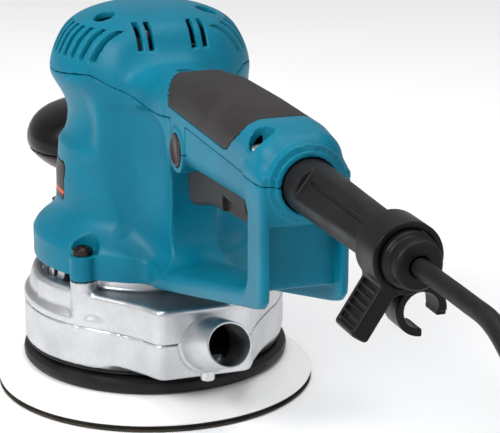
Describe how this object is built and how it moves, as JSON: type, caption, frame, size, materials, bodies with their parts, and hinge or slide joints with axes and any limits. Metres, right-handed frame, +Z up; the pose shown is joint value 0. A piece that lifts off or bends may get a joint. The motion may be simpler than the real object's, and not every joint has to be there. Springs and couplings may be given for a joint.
{
  "type": "orbital sander",
  "caption": "Random-orbit disc sander with an upright motor housing, closed rear handle, front palm grip, dust outlet, round foam pad and mains lead.",
  "frame": {"origin": "on the motor axis, in the sanding plane at the abrasive's face", "axes": "+Z up along the motor axis, +X towards the rear handle and the mains lead, +Y to the right of someone holding the rear handle and facing the front grip"},
  "size_m": [0.5753, 0.2013, 0.177],
  "materials": {
    "teal_plastic": "satin",
    "soft_grip": "fine grained, matte",
    "gloss_black": "semi-gloss",
    "black_rubber": "matte",
    "black_plastic": "satin",
    "white_foam": "matte, closed foam",
    "abrasive": "gritty",
    "cast_aluminium": "satin, sand-cast grain",
    "steel": "satin",
    "black_steel": "blackened, semi-gloss",
    "copper_wire": "varnished winding",
    "laminations": "matte",
    "nylon": "matte",
    "carbon": "matte"
  },
  "bodies": {
    "machine": {"motor_housing": "teal_plastic", "top_cover": "teal_plastic", "handle_overmold": "soft_grip", "badge_plate": "black_plastic", "gear_housing": "cast_aluminium", "skirt_casting": "cast_aluminium", "dust_seal": "black_rubber", "front_grip_base": "gloss_black", "front_grip_cap": "gloss_black", "front_grip_bolt": "steel", "trigger_pin": "steel", "switch_body": "black_plastic", "stator_core": "laminations", "air_baffle": "nylon", "base_screw_1": "black_steel", "base_screw_2": "black_steel", "base_screw_3": "black_steel", "base_screw_4": "black_steel", "cover_screw_left": "steel", "cover_screw_right": "steel", "cover_screw_saddle": "steel", "cover_screw_rear": "steel", "field_coil_front": "copper_wire", "field_coil_rear": "copper_wire", "brush_holder_left": "black_plastic", "brush_holder_right": "black_plastic", "carbon_brush_left": "carbon", "carbon_brush_right": "carbon", "cord_guard": "black_rubber", "cord_clamp": "nylon", "cord_drop": "black_rubber", "cord_coil": "black_rubber", "cord_tie": "black_plastic", "cord_tail": "black_rubber", "plug_body": "black_plastic", "plug_pin_left": "steel", "plug_pin_right": "steel"},
    "rotor": {"lower_bearing": "steel", "upper_bearing": "steel", "motor_shaft": "steel", "armature_core": "laminations", "armature_winding_lower": "copper_wire", "armature_winding_upper": "copper_wire", "commutator": "copper_wire", "cooling_fan": "nylon", "eccentric_carrier": "cast_aluminium", "dust_fan": "cast_aluminium", "pad_bearing_lower": "steel", "pad_bearing_upper": "steel"},
    "pad": {"pad_spindle": "steel", "pad_backing": "black_rubber", "pad_foam": "white_foam", "hook_facing": "black_rubber", "abrasive_disc": "abrasive", "pad_washer": "steel", "pad_bolt": "steel"},
    "trigger_lever": {"trigger": "soft_grip"},
    "lock": {"lock_button": "gloss_black"},
    "clip": {"guard_clip": "black_plastic"}
  },
  "joints": [
    {"name": "motor_spin", "type": "hinge", "parent": "machine", "child": "rotor", "pos_m": [0, 0, 0.1], "axis": [0, 0, 1], "continuous": true},
    {"name": "pad_spin", "type": "hinge", "parent": "rotor", "child": "pad", "pos_m": [0.00275, 0, 0.03], "axis": [0, 0, 1], "continuous": true},
    {"name": "trigger_squeeze", "type": "hinge", "parent": "machine", "child": "trigger_lever", "pos_m": [0.15, 0, 0.138], "axis": [0, 1, 0], "range_deg": [0, 4.5], "stiffness_Nm_per_rad": 3, "springref_deg": -2.86},
    {"name": "lock_press", "type": "slide", "parent": "machine", "child": "lock", "axis": [0, 1, 0], "range_m": [0, 0.0025], "stiffness_N_per_m": 400, "springref_m": -0.001},
    {"name": "clip_turn", "type": "hinge", "parent": "machine", "child": "clip", "pos_m": [0.28, 0, 0.1465], "axis": [1, 0, 0], "range_deg": [-170, 170]}
  ]
}
